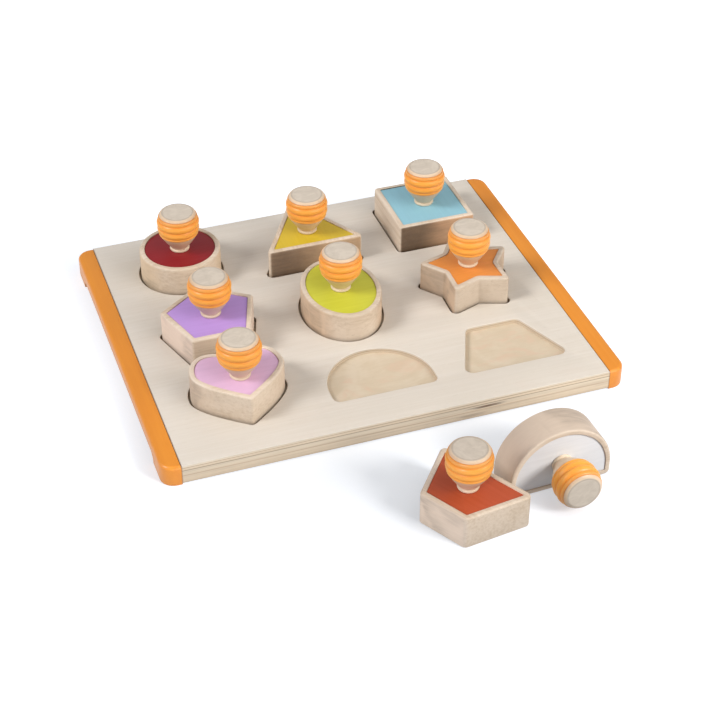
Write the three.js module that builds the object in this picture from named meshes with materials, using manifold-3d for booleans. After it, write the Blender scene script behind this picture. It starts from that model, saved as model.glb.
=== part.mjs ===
// A knob shape puzzle: a plywood board with a shallow recess for each of nine wooden blocks,
// and on each block a turned knob with a ribbed rubber grip, to lift it out by.
//
// Millimetres, +Z up. The origin is the middle of the board's underside. +X runs to the right
// along the board's front edge and +Y to its back. The board stands on two orange rails, whose
// feet reach a little below the origin. Two of the blocks are out on the table in front of it.

import * as THREE from 'three';
import { mergeVertices, toCreasedNormals } from 'three/addons/utils/BufferGeometryUtils.js';
import Module from 'manifold-3d';

const wasm = await Module();
wasm.setup();

// Board: a base with a top sheet glued to it, which the recesses are cut through
const boardWidth = 372;
const boardDepth = 325;
const baseThickness = 13;
const sheetThickness = 4.5;
const boardEdgeRound = 0.7;
const recessEdgeRound = 0.9;

// Rails along the two sides, arched underneath between two feet
const railWidth = 16;
const railDrop = 1.5;
const railCornerRadius = 12;
const railEdgeRadius = 3;
const railFootLength = 32;
const railArchRise = 7.5;
const railArchRun = 8;
const archCurveShare = 0.45;

// Dowels that hold each rail to the base, one at each foot
const dowelDiameter = 6;
const dowelDepthInRail = 11;
const dowelDepthInBase = 17;
const dowelFromEnd = 18;

// Blocks: one thickness for all, with a natural rim round a sunk coloured face
const blockThickness = 30;
const blockEdgeRadius = 2;
const blockFootRound = 0.8;
const rimWidth = 4.6;
const faceThickness = 1.5;
const faceSunk = 0.9;
const faceCornerRadius = 1.2;
const recessClearance = 1.8;

// Outlines of the blocks
const circleDiameter = 72.6;
const ellipseWidth = 68.8;
const ellipseLength = 90.8;
const squareSide = 73;
const squareCornerRadius = 3;
const triangleSide = 93.3;
const triangleCornerRadius = 3.6;
const pentagonRadius = 43.8;
const pentagonCornerRadius = 3;
const starTipRadius = 44.6;
const starWaistRadius = 26.7;
const starCornerRadius = 3.4;
const heartWidth = 80;
const heartHeight = 69.8;
const heartTipRadius = 2.4;
const heartKnobShare = 0.49;
const halfRoundRadius = 44.2;
const halfRoundStraight = 12.2;
const halfRoundCornerRadius = 4.6;
const halfRoundKnobFromFront = 24.4;
const trapezoidFront = 91.6;
const trapezoidBack = 45.6;
const trapezoidHeight = 56.2;
const trapezoidCornerRadius = 4.6;
const trapezoidKnobFromFront = 24.9;

// Half the heart as curves from its tip up to the notch: shares of half its width and of its height
const heartCurveShares = [
  [[0, 0], [0.3, 0.13], [1, 0.42], [1, 0.62]],
  [[1, 0.62], [1, 0.84], [0.78, 1], [0.5, 1]],
  [[0.5, 1], [0.28, 1], [0.12, 0.94], [0, 0.87]],
];

// Knob: each drop is measured down from its top
const knobHeight = 38.4;
const knobTopDiameter = 27.8;
const knobShoulderDiameter = 32.8;
const knobShoulderDrop = 2.3;
const knobBellyDiameter = 33.2;
const knobBellyDrop = 21.8;
const knobFlankDiameter = 27.8;
const knobFlankDrop = 26.6;
const knobNeckDiameter = 16.4;
const knobNeckDrop = 34.8;
const knobFootDiameter = 17.8;
const knobFootHeight = 2.9;
const tenonDiameter = 12;
const tenonLength = 14;

// Grip: a moulded rubber ring with rounded ribs, stretched into a groove round the knob. Its two
// full ribs lie between two lips, and the lists run from the bottom up.
const gripDepthInKnob = 1.8;
const gripRibDiameters = [35.4, 37.4, 37.8, 35];
const gripValleyDiameters = [33.4, 35, 35.8, 34.6, 33];
const gripRibHeightShares = [0.15, 0.33, 0.33, 0.19];

// Gap left between pieces that fit in or round one another, and under a piece laid in its recess
const fitGap = 0.3;
const restGap = 0.1;

// How far a cutter reaches past what it cuts
const cutOverrun = 2;

// Columns as shares of the board's width from its middle, rows as shares of its depth from its
// front. The front and back rows line up by the front sides of their recesses. The heart and the
// star have places of their own.
const columnShares = { left: -0.316, middle: 0, right: 0.316, star: 0.3195 };
const rowShares = { frontSides: 0.111, heart: 0.206, star: 0.48, middle: 0.4855, backSides: 0.6928 };

// Where the two loose blocks stand on the table, from the middle of the board's front edge
const looseTrapezoidSide = 14.1;
const looseTrapezoidAhead = 105.9;
const looseTrapezoidTurn = 119.7;
const looseHalfRoundSide = 94.7;
const looseHalfRoundAhead = 70;
const looseHalfRoundTurn = 2.4;

// Facets
const turnSteps = 18;
const roundSteps = 40;
const cornerSteps = 3;
const edgeSteps = 2;
const curveSteps = 5;
const ribSteps = 3;

const boardTop = baseThickness + sheetThickness;
const tableHeight = -railDrop;
const trayDepth = faceSunk + faceThickness + fitGap;

// Finishes
const finishes = {
  birch: { color: 0xe6dccd, roughness: 0.6, metalness: 0 },
  birchCore: { color: 0xe0cfb2, roughness: 0.7, metalness: 0 },
  blockWood: { color: 0xd9c8b0, roughness: 0.6, metalness: 0 },
  knobWood: { color: 0xdccbb2, roughness: 0.5, metalness: 0 },
  dowelWood: { color: 0xcbb28a, roughness: 0.7, metalness: 0 },
  orangeLacquer: { color: 0xf29a35, roughness: 0.35, metalness: 0 },
  orangeRubber: { color: 0xffa53c, roughness: 0.45, metalness: 0 },
  darkRed: { color: 0x9c2030, roughness: 0.5, metalness: 0 },
  yellow: { color: 0xdccb36, roughness: 0.5, metalness: 0 },
  lightBlue: { color: 0x7fbfdc, roughness: 0.5, metalness: 0 },
  lilac: { color: 0xb795e4, roughness: 0.5, metalness: 0 },
  lime: { color: 0xc8d040, roughness: 0.5, metalness: 0 },
  orangePaint: { color: 0xee9040, roughness: 0.5, metalness: 0 },
  pink: { color: 0xdca5df, roughness: 0.5, metalness: 0 },
  white: { color: 0xe6e6ea, roughness: 0.5, metalness: 0 },
  rust: { color: 0xb8502c, roughness: 0.5, metalness: 0 },
};

// Solids in and out of the boolean library

function toSolid(geometry) {
  const bare = geometry.clone();
  bare.deleteAttribute('normal');
  bare.deleteAttribute('uv');
  const merged = mergeVertices(bare);
  const vertProperties = new Float32Array(merged.attributes.position.array);
  const triVerts = new Uint32Array(merged.index.array);
  return new wasm.Manifold(new wasm.Mesh({ numProp: 3, vertProperties, triVerts }));
}

function toGeometry(solid) {
  const { vertProperties, triVerts } = solid.getMesh();
  const geometry = new THREE.BufferGeometry();
  geometry.setAttribute('position', new THREE.BufferAttribute(new Float32Array(vertProperties), 3));
  geometry.setIndex(new THREE.BufferAttribute(new Uint32Array(triVerts), 1));
  return toCreasedNormals(geometry);
}

function cutAway(geometry, cutters) {
  let solid = toSolid(geometry);
  for (const cutter of cutters) {
    solid = solid.subtract(toSolid(cutter));
  }
  return toGeometry(solid);
}

function makeMesh(name, geometry, finish) {
  const mesh = new THREE.Mesh(geometry, new THREE.MeshStandardMaterial(finishes[finish]));
  mesh.name = name;
  return mesh;
}

// Outlines: closed rows of corners, each with a rounding radius, anticlockwise

function cornerFrame(points, index) {
  const count = points.length;
  const here = points[index];
  const back = points[(index + count - 1) % count].clone().sub(here).normalize();
  const ahead = points[(index + 1) % count].clone().sub(here).normalize();
  const halfAngle = Math.acos(THREE.MathUtils.clamp(back.dot(ahead), -1, 1)) / 2;
  const convex = ahead.cross(back) > 0;
  const straight = Math.abs(ahead.cross(back)) < Number.EPSILON;
  const inward = back.clone().add(ahead).normalize().multiplyScalar(convex ? 1 : -1);
  if (straight) {
    inward.set(-ahead.y, ahead.x);
  }
  return { here, back, ahead, halfAngle, convex, inward };
}

function insetCorner(points, index, inset) {
  const { here, halfAngle, inward } = cornerFrame(points, index);
  return here.clone().addScaledVector(inward, inset / Math.sin(halfAngle));
}

function roundedCorner(points, index, radius) {
  const { here, back, ahead, halfAngle, convex, inward } = cornerFrame(points, index);
  if (radius <= 0) {
    return [here.clone()];
  }
  const side = convex ? 1 : -1;
  const centre = here.clone().addScaledVector(inward, (side * radius) / Math.sin(halfAngle));
  const start = here.clone().addScaledVector(back, radius / Math.tan(halfAngle)).sub(centre);
  const sweep = side * (Math.PI - 2 * halfAngle);
  const arc = [];
  for (let step = 0; step <= cornerSteps; step += 1) {
    const spoke = start.clone().rotateAround(new THREE.Vector2(), (sweep * step) / cornerSteps);
    arc.push(centre.clone().add(spoke));
  }
  return arc;
}

function outline(shape, inset = 0) {
  const moved = shape.corners.map((corner, index) => insetCorner(shape.corners, index, inset));
  const points = moved.map((corner, index) => {
    const radius = shape.radii[index];
    if (radius <= 0) {
      return [corner];
    }
    const { convex } = cornerFrame(moved, index);
    const offsetRadius = convex ? radius - inset : radius + inset;
    return roundedCorner(moved, index, Math.max(offsetRadius, faceCornerRadius));
  });
  return points.flat();
}

function regularCorners(count, radiusOf, firstAngle) {
  const corners = [];
  for (let index = 0; index < count; index += 1) {
    const angle = firstAngle + (2 * Math.PI * index) / count;
    const radius = radiusOf(index);
    corners.push(new THREE.Vector2(radius * Math.cos(angle), radius * Math.sin(angle)));
  }
  return corners;
}

function shapeOf(corners, radius) {
  return { corners, radii: corners.map(() => radius) };
}

// The nine outlines, each drawn round its knob's axis, with its front towards -Y

function ovalShape(width, length) {
  const corners = regularCorners(roundSteps, () => 1, 0);
  for (const corner of corners) {
    corner.set((corner.x * width) / 2, (corner.y * length) / 2);
  }
  return shapeOf(corners, 0);
}

function squareShape() {
  const toCorner = squareSide / Math.SQRT2;
  return shapeOf(regularCorners(4, () => toCorner, Math.PI / 4), squareCornerRadius);
}

function triangleShape() {
  const toCorner = triangleSide / Math.sqrt(3);
  return shapeOf(regularCorners(3, () => toCorner, Math.PI / 2), triangleCornerRadius);
}

function pentagonShape() {
  return shapeOf(regularCorners(5, () => pentagonRadius, Math.PI / 2), pentagonCornerRadius);
}

function starShape() {
  const radiusOf = (index) => (index % 2 === 0 ? starTipRadius : starWaistRadius);
  return shapeOf(regularCorners(10, radiusOf, Math.PI / 2), starCornerRadius);
}

function heartHalf() {
  const half = [];
  for (const shares of heartCurveShares) {
    const places = shares.map(([across, up]) => {
      return new THREE.Vector2((across * heartWidth) / 2, (up - heartKnobShare) * heartHeight);
    });
    const points = new THREE.CubicBezierCurve(...places).getPoints(curveSteps);
    half.push(...points.slice(0, curveSteps));
  }
  return half;
}

function heartShape() {
  const right = heartHalf();
  const notchShare = heartCurveShares[2][3][1];
  const notch = new THREE.Vector2(0, (notchShare - heartKnobShare) * heartHeight);
  const left = right.slice(1).reverse().map((point) => new THREE.Vector2(-point.x, point.y));
  const shape = shapeOf([...right, notch, ...left], 0);
  shape.radii[0] = heartTipRadius;
  return shape;
}

function halfRoundShape() {
  const corners = [
    new THREE.Vector2(-halfRoundRadius, -halfRoundKnobFromFront),
    new THREE.Vector2(halfRoundRadius, -halfRoundKnobFromFront),
  ];
  const arcSteps = roundSteps / 2;
  for (let step = 0; step <= arcSteps; step += 1) {
    const angle = (Math.PI * step) / arcSteps;
    const up = halfRoundStraight - halfRoundKnobFromFront + halfRoundRadius * Math.sin(angle);
    corners.push(new THREE.Vector2(halfRoundRadius * Math.cos(angle), up));
  }
  const shape = shapeOf(corners, 0);
  shape.radii[0] = halfRoundCornerRadius;
  shape.radii[1] = halfRoundCornerRadius;
  return shape;
}

function trapezoidShape() {
  const front = -trapezoidKnobFromFront;
  const back = trapezoidHeight - trapezoidKnobFromFront;
  const corners = [
    new THREE.Vector2(-trapezoidFront / 2, front),
    new THREE.Vector2(trapezoidFront / 2, front),
    new THREE.Vector2(trapezoidBack / 2, back),
    new THREE.Vector2(-trapezoidBack / 2, back),
  ];
  return shapeOf(corners, trapezoidCornerRadius);
}

// A solid made of closed rings one above another, capped at both ends
function stackedSolid(rings) {
  const positions = [];
  const indices = [];
  const count = rings[0].points.length;
  for (const { points, z } of rings) {
    for (const point of points) {
      positions.push(point.x, point.y, z);
    }
  }
  for (let ring = 0; ring < rings.length - 1; ring += 1) {
    for (let step = 0; step < count; step += 1) {
      const a = ring * count + step;
      const b = ring * count + ((step + 1) % count);
      indices.push(a, b, b + count, a, b + count, a + count);
    }
  }
  const last = (rings.length - 1) * count;
  for (const [a, b, c] of THREE.ShapeUtils.triangulateShape(rings[0].points, [])) {
    indices.push(c, b, a);
  }
  for (const [a, b, c] of THREE.ShapeUtils.triangulateShape(rings.at(-1).points, [])) {
    indices.push(last + a, last + b, last + c);
  }
  const geometry = new THREE.BufferGeometry();
  geometry.setAttribute('position', new THREE.Float32BufferAttribute(positions, 3));
  geometry.setIndex(indices);
  return geometry;
}

// Rings for an outline whose upper edge is rounded over, from bottom to top
function roundedRings(shape, bottom, top, footRound, edgeRadius) {
  const rings = [
    { points: outline(shape, footRound), z: bottom },
    { points: outline(shape), z: bottom + footRound },
  ];
  for (let step = 0; step <= edgeSteps; step += 1) {
    const angle = (Math.PI * step) / (2 * edgeSteps);
    const inset = edgeRadius * (1 - Math.cos(angle));
    rings.push({ points: outline(shape, inset), z: top - edgeRadius * (1 - Math.sin(angle)) });
  }
  return rings;
}

// A solid of revolution about Z from [radius, height] pairs, bottom to top
function turned(profile) {
  const points = profile.map(([radius, height]) => new THREE.Vector2(radius, height));
  return new THREE.LatheGeometry(points, turnSteps).rotateX(Math.PI / 2);
}

function cylinderCutter(radius, bottom, top) {
  return turned([[0, bottom], [radius, bottom], [radius, top], [0, top]]);
}

// Block, face, knob and grip

function blockGeometry(shape) {
  const rings = roundedRings(shape, 0, blockThickness, blockFootRound, blockEdgeRadius);
  const rim = outline(shape, rimWidth);
  rings.push({ points: rim, z: blockThickness });
  rings.push({ points: rim, z: blockThickness - trayDepth });
  const holeBottom = blockThickness - faceSunk - tenonLength;
  const hole = cylinderCutter(tenonDiameter / 2 + fitGap, holeBottom, blockThickness);
  return cutAway(stackedSolid(rings), [hole]);
}

function faceGeometry(shape) {
  const top = blockThickness - faceSunk;
  const points = outline(shape, rimWidth + fitGap);
  const plate = stackedSolid([{ points, z: top - faceThickness }, { points, z: top }]);
  const hole = cylinderCutter(
    tenonDiameter / 2 + fitGap,
    top - faceThickness - cutOverrun,
    top + cutOverrun,
  );
  return cutAway(plate, [hole]);
}

const knobSeat = blockThickness - faceSunk + fitGap;
const knobTop = knobSeat + knobHeight;
const gripTop = knobTop - knobShoulderDrop - fitGap;
const gripBottom = knobTop - knobBellyDrop + fitGap;
const grooveRadius = knobShoulderDiameter / 2 - gripDepthInKnob;

// The waist between the belly and the neck, rounded under and then drawn in
function knobUnderside() {
  const curve = new THREE.CatmullRomCurve3([
    new THREE.Vector3(knobNeckDiameter / 2, knobTop - knobNeckDrop, 0),
    new THREE.Vector3(
      (knobNeckDiameter + knobFlankDiameter) / 4,
      knobTop - (knobNeckDrop + knobFlankDrop) / 2,
      0,
    ),
    new THREE.Vector3(knobFlankDiameter / 2, knobTop - knobFlankDrop, 0),
    new THREE.Vector3(knobBellyDiameter / 2, knobTop - knobBellyDrop, 0),
  ]);
  return curve.getPoints(curveSteps).map((point) => [point.x, point.y]);
}

function knobShoulder() {
  const across = (knobShoulderDiameter - knobTopDiameter) / 2;
  const places = [];
  for (let step = 0; step <= edgeSteps; step += 1) {
    const angle = (Math.PI * step) / (2 * edgeSteps);
    const radius = knobTopDiameter / 2 + across * Math.cos(angle);
    places.push([radius, knobTop - knobShoulderDrop * (1 - Math.sin(angle))]);
  }
  return places;
}

function knobGeometry() {
  const profile = [
    [0, knobSeat - tenonLength],
    [tenonDiameter / 2, knobSeat - tenonLength],
    [tenonDiameter / 2, knobSeat],
    [knobFootDiameter / 2, knobSeat],
    [knobFootDiameter / 2, knobSeat + knobFootHeight],
    ...knobUnderside(),
    [grooveRadius, knobTop - knobBellyDrop],
    [grooveRadius, knobTop - knobShoulderDrop],
    ...knobShoulder(),
    [0, knobTop],
  ];
  return turned(profile);
}

// Each rib or lip bulges between two valleys
function gripGeometry() {
  const inner = grooveRadius + fitGap;
  const profile = [[inner, gripBottom], [gripValleyDiameters[0] / 2, gripBottom]];
  let ribBottom = gripBottom;
  gripRibDiameters.forEach((ribDiameter, rib) => {
    const ribHeight = gripRibHeightShares[rib] * (gripTop - gripBottom);
    for (let step = 1; step <= ribSteps; step += 1) {
      const share = step / ribSteps;
      const [under, over] = gripValleyDiameters.slice(rib);
      const valley = THREE.MathUtils.lerp(under, over, share);
      const bulge = (ribDiameter - valley) * Math.sin(Math.PI * share);
      profile.push([(valley + bulge) / 2, ribBottom + share * ribHeight]);
    }
    ribBottom += ribHeight;
  });
  profile.push([inner, gripTop], [inner, gripBottom]);
  return turned(profile);
}

const knobShared = knobGeometry();
const gripShared = gripGeometry();

function makePiece(name, shape, finish) {
  const piece = new THREE.Group();
  piece.add(makeMesh(`${name}_block`, blockGeometry(shape), 'blockWood'));
  piece.add(makeMesh(`${name}_face`, faceGeometry(shape), finish));
  piece.add(makeMesh(`${name}_knob`, knobShared.clone(), 'knobWood'));
  piece.add(makeMesh(`${name}_grip`, gripShared.clone(), 'orangeRubber'));
  return piece;
}

// The nine shapes with their places on the board

function frontReach(shape) {
  const lowest = Math.min(...outline(shape, -recessClearance).map((point) => point.y));
  return -lowest;
}

function columnAt(share) {
  return share * boardWidth;
}

function rowAt(share) {
  return (share - 0.5) * boardDepth;
}

const shapes = {
  circle: ovalShape(circleDiameter, circleDiameter),
  triangle: triangleShape(),
  square: squareShape(),
  pentagon: pentagonShape(),
  ellipse: ovalShape(ellipseWidth, ellipseLength),
  star: starShape(),
  heart: heartShape(),
  half_round: halfRoundShape(),
  trapezoid: trapezoidShape(),
};

function placeWithFrontAt(shape, columnShare, rowShare) {
  return new THREE.Vector2(columnAt(columnShare), rowAt(rowShare) + frontReach(shape));
}

const { left, middle, right } = columnShares;
const places = {
  circle: placeWithFrontAt(shapes.circle, left, rowShares.backSides),
  triangle: placeWithFrontAt(shapes.triangle, middle, rowShares.backSides),
  square: placeWithFrontAt(shapes.square, right, rowShares.backSides),
  pentagon: new THREE.Vector2(columnAt(left), rowAt(rowShares.middle)),
  ellipse: new THREE.Vector2(columnAt(middle), rowAt(rowShares.middle)),
  star: new THREE.Vector2(columnAt(columnShares.star), rowAt(rowShares.star)),
  heart: new THREE.Vector2(columnAt(left), rowAt(rowShares.heart)),
  half_round: placeWithFrontAt(shapes.half_round, middle, rowShares.frontSides),
  trapezoid: placeWithFrontAt(shapes.trapezoid, right, rowShares.frontSides),
};

const faceFinishes = {
  circle: 'darkRed',
  triangle: 'yellow',
  square: 'lightBlue',
  pentagon: 'lilac',
  ellipse: 'lime',
  star: 'orangePaint',
  heart: 'pink',
  half_round: 'white',
  trapezoid: 'rust',
};

// Board

function rectangleShape(width, depth) {
  const corners = [
    new THREE.Vector2(-width / 2, -depth / 2),
    new THREE.Vector2(width / 2, -depth / 2),
    new THREE.Vector2(width / 2, depth / 2),
    new THREE.Vector2(-width / 2, depth / 2),
  ];
  return shapeOf(corners, 0);
}

// A cutter for one recess, flared at the top so that the recess has an eased edge
function recessCutter(shape, place) {
  const wall = outline(shape, -recessClearance);
  const flare = outline(shape, -recessClearance - recessEdgeRound);
  const rings = [
    { points: wall, z: baseThickness - cutOverrun },
    { points: wall, z: boardTop - recessEdgeRound },
    { points: flare, z: boardTop },
    { points: flare, z: boardTop + cutOverrun },
  ];
  return stackedSolid(rings).translate(place.x, place.y, 0);
}

function topSheetGeometry() {
  const plan = rectangleShape(boardWidth, boardDepth);
  const sheet = stackedSolid([
    { points: outline(plan), z: baseThickness },
    { points: outline(plan), z: boardTop - boardEdgeRound },
    { points: outline(plan, boardEdgeRound), z: boardTop },
  ]);
  const cutters = Object.keys(shapes).map((name) => recessCutter(shapes[name], places[name]));
  return cutAway(sheet, cutters);
}

// A cylinder across the joint between the base and a rail, at one end of the rail
function acrossJoint(side, end, radius, spare) {
  const joint = (side * boardWidth) / 2;
  const intoRail = dowelDepthInRail + spare;
  const intoBase = dowelDepthInBase + spare;
  const from = joint - (side > 0 ? intoBase : intoRail);
  const to = joint + (side > 0 ? intoRail : intoBase);
  const along = end * (boardDepth / 2 - dowelFromEnd);
  const upright = cylinderCutter(radius, from, to);
  return upright.rotateY(Math.PI / 2).translate(0, along, baseThickness / 2);
}

function dowelHoles(side) {
  return [-1, 1].map((end) => acrossJoint(side, end, dowelDiameter / 2 + fitGap, fitGap));
}

function baseGeometry() {
  const plan = rectangleShape(boardWidth, boardDepth);
  const base = stackedSolid([
    { points: outline(plan, boardEdgeRound), z: 0 },
    { points: outline(plan), z: boardEdgeRound },
    { points: outline(plan), z: baseThickness },
  ]);
  return cutAway(base, [...dowelHoles(1), ...dowelHoles(-1)]);
}

function dowelGeometry(side, end) {
  return acrossJoint(side, end, dowelDiameter / 2, 0);
}

// Rails

function railPlan(side) {
  const inner = side * (boardWidth / 2);
  const outer = side * (boardWidth / 2 + railWidth);
  const end = boardDepth / 2;
  const corners = [
    new THREE.Vector2(inner, -end),
    new THREE.Vector2(outer, -end),
    new THREE.Vector2(outer, end),
    new THREE.Vector2(inner, end),
  ];
  const radii = [0, railCornerRadius, railCornerRadius, 0];
  if (side < 0) {
    corners.reverse();
    radii.reverse();
  }
  return { corners, radii };
}

// The arch under a rail: a long shallow space that turns down to each foot
function archShape() {
  const foot = boardDepth / 2 - railFootLength;
  const roof = tableHeight + railArchRise;
  const sag = railArchRun * archCurveShare;
  const shape = new THREE.Shape();
  shape.moveTo(-foot, tableHeight - cutOverrun);
  shape.lineTo(foot, tableHeight - cutOverrun);
  shape.lineTo(foot, tableHeight);
  shape.bezierCurveTo(foot, tableHeight + sag, foot - sag, roof, foot - railArchRun, roof);
  shape.lineTo(railArchRun - foot, roof);
  shape.bezierCurveTo(sag - foot, roof, -foot, tableHeight + sag, -foot, tableHeight);
  return shape;
}

function archCutter(side) {
  const depth = railWidth + 2 * cutOverrun;
  const settings = { depth, bevelEnabled: false, curveSegments: curveSteps };
  const turn = new THREE.Matrix4().makeBasis(
    new THREE.Vector3(0, 1, 0),
    new THREE.Vector3(0, 0, 1),
    new THREE.Vector3(1, 0, 0),
  );
  const outset = (side * (boardWidth + railWidth) - depth) / 2;
  return new THREE.ExtrudeGeometry(archShape(), settings).applyMatrix4(turn).translate(outset, 0, 0);
}

function railGeometry(side) {
  const rings = roundedRings(railPlan(side), tableHeight, boardTop, boardEdgeRound, railEdgeRadius);
  return cutAway(stackedSolid(rings), [archCutter(side), ...dowelHoles(side)]);
}

// The trapezoid lies flat on the table. The half round stands there on its straight side.

function looseTrapezoid() {
  const piece = makePiece('trapezoid', shapes.trapezoid, faceFinishes.trapezoid);
  piece.rotation.z = THREE.MathUtils.degToRad(looseTrapezoidTurn);
  piece.position.set(looseTrapezoidSide, -boardDepth / 2 - looseTrapezoidAhead, tableHeight);
  return piece;
}

function looseHalfRound() {
  const piece = makePiece('half_round', shapes.half_round, faceFinishes.half_round);
  piece.rotation.x = Math.PI / 2;
  const stand = new THREE.Group();
  stand.add(piece);
  stand.rotation.z = THREE.MathUtils.degToRad(looseHalfRoundTurn);
  stand.position.set(
    looseHalfRoundSide,
    -boardDepth / 2 - looseHalfRoundAhead,
    tableHeight + halfRoundKnobFromFront,
  );
  return stand;
}

function setPiece(name) {
  const piece = makePiece(name, shapes[name], faceFinishes[name]);
  piece.position.set(places[name].x, places[name].y, baseThickness + restGap);
  return piece;
}

const puzzle = new THREE.Group();
puzzle.add(makeMesh('base_board', baseGeometry(), 'birchCore'));
puzzle.add(makeMesh('top_sheet', topSheetGeometry(), 'birch'));
for (const [side, word] of [[-1, 'left'], [1, 'right']]) {
  puzzle.add(makeMesh(`${word}_rail`, railGeometry(side), 'orangeLacquer'));
  puzzle.add(makeMesh(`${word}_front_dowel`, dowelGeometry(side, -1), 'dowelWood'));
  puzzle.add(makeMesh(`${word}_back_dowel`, dowelGeometry(side, 1), 'dowelWood'));
}
for (const name of ['circle', 'triangle', 'square', 'pentagon', 'ellipse', 'star', 'heart']) {
  puzzle.add(setPiece(name));
}
puzzle.add(looseTrapezoid());
puzzle.add(looseHalfRound());

export default puzzle;
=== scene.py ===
"""Looks of the knob shape puzzle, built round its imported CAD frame.

Lengths are millimetres of the part's own frame, and MM turns them into metres. Lights and the camera are
placed in metres.
"""
import math

import bpy
from mathutils import Matrix, Vector
from mathutils.geometry import tessellate_polygon


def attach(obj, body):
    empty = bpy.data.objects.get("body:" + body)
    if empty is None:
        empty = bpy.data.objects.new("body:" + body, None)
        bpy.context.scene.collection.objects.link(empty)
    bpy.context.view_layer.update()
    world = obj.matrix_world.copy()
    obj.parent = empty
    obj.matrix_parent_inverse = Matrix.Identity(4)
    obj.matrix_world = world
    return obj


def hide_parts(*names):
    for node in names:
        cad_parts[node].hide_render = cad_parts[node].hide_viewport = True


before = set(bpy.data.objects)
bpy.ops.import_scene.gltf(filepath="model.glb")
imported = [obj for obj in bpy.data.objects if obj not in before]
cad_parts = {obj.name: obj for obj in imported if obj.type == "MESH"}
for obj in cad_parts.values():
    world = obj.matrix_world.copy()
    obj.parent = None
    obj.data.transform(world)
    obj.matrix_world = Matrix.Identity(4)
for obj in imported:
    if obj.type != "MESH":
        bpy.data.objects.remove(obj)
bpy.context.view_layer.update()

MM = 0.001

# Sizes of the board, the blocks and the knobs, the same as the part's own

BOARD_W, BOARD_D = 372.0, 325.0
BASE_T, SHEET_T = 13.0, 4.5
BOARD_TOP = BASE_T + SHEET_T
RAIL_W, RAIL_DROP, RAIL_CORNER, RAIL_EDGE = 16.0, 1.5, 12.0, 3.0
FOOT_LENGTH, ARCH_RISE, ARCH_RUN = 32.0, 7.5, 8.0
TABLE = -RAIL_DROP
BLOCK_T, BLOCK_EDGE, BLOCK_FOOT = 30.0, 2.0, 0.8
RIM, SUNK, FACE_T, LEAST_CORNER = 4.6, 0.9, 1.5, 1.2
CLEARANCE, REST_GAP, RECESS_EDGE = 1.8, 0.1, 0.9
KNOB_H = 38.4
RIBS = (35.4, 37.4, 37.8, 35.0)
RIB_SHARES = (0.15, 0.33, 0.33, 0.19)

# Sizes of the nine shapes. KNOB is how far the knob's axis lies from the front side

CIRCLE_D = 72.6
ELLIPSE_W, ELLIPSE_L = 68.8, 90.8
TRIANGLE_SIDE, TRIANGLE_CORNER = 93.3, 3.6
SQUARE_SIDE, SQUARE_CORNER = 73.0, 3.0
PENTAGON_REACH, PENTAGON_CORNER = 43.8, 3.0
STAR_TIP, STAR_WAIST, STAR_CORNER = 44.6, 26.7, 3.4
HEART_W, HEART_H, HEART_CORNER, HEART_KNOB_SHARE = 80.0, 69.8, 2.4, 0.49
HALF_ROUND_R, HALF_ROUND_STRAIGHT, HALF_ROUND_KNOB, HALF_ROUND_CORNER = 44.2, 12.2, 24.4, 4.6
TRAPEZOID_FRONT, TRAPEZOID_BACK, TRAPEZOID_H = 91.6, 45.6, 56.2
TRAPEZOID_KNOB, TRAPEZOID_CORNER = 24.9, 4.6
# Half of the heart, from its tip to its notch: curves in shares of its half width and of its height
HEART_CURVE_SHARES = [((0, 0), (0.3, 0.13), (1, 0.42), (1, 0.62)),
                      ((1, 0.62), (1, 0.84), (0.78, 1), (0.5, 1)),
                      ((0.5, 1), (0.28, 1), (0.12, 0.94), (0, 0.87))]
HEART_END_SHARE = 0.25

# Places of the recesses as shares of the board, and of the two loose pieces on the table

COLUMN_SHARE, STAR_COLUMN_SHARE = 0.316, 0.3195
ROW_SHARES = {"front_sides": 0.111, "heart": 0.206, "star": 0.48, "middle": 0.4855, "back_sides": 0.6928}
TRAPEZOID_X, TRAPEZOID_AHEAD, TRAPEZOID_TURN = 14.1, 105.9, 119.7
HALF_ROUND_X, HALF_ROUND_AHEAD, HALF_ROUND_TURN = 94.7, 70.0, 2.4

# Finer details that the part has in a plainer form or not at all. TOUCH is a hair's breadth

TRAY_LIP, TRAY_DEPTH, SHEET_EDGE = 0.5, 2.6, 0.8
RAIL_FOOT_EDGE, RAIL_INNER_SHARE = 0.8, 0.3
# Painted shade low on the recess walls: how far below the sheet's top it starts, and its share round the
# seated and the empty recesses
WALL_SHADE_DROP, WALL_SHADE_SEATED, WALL_SHADE_EMPTY = 0.5, 1.0, 0.4
TOUCH = 0.02
VALLEYS = (33.2, 34.9, 35.7, 34.4, 32.8)
KNOB_SEAT = BLOCK_T - SUNK + TOUCH
KNOB_TOP = KNOB_SEAT + KNOB_H

# How finely curves are divided

CORNER_STEPS, OVAL_STEPS, HEART_STEPS, HALF_ROUND_STEPS = 6, 120, 16, 60
BLOCK_FOOT_STEPS, BLOCK_EDGE_STEPS, LIP_STEPS = 3, 8, 4
SHEET_STEPS, RAIL_FOOT_STEPS, RAIL_STEPS = 4, 3, 8
KNOB_STEPS, GRIP_STEPS, RIB_STEPS, BEAD_STEPS, SPLINE_STEPS = 72, 96, 12, 8, 4


# Outlines: corners with a rounding radius each, anticlockwise, drawn round the knob's axis

def corner_frame(points, i):
    """A corner, the way back from it, half its angle, whether it is convex, and the way inwards."""
    here = points[i]
    back = (points[i - 1] - here).normalized()
    ahead = (points[(i + 1) % len(points)] - here).normalized()
    cross = ahead.x * back.y - ahead.y * back.x
    half = math.acos(max(-1.0, min(1.0, back.dot(ahead)))) / 2
    if abs(cross) < 1e-7:
        inward = Vector((-ahead.y, ahead.x))
    else:
        inward = (back + ahead).normalized() * (1 if cross > 0 else -1)
    return here, back, half, cross >= 0, inward


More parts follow.
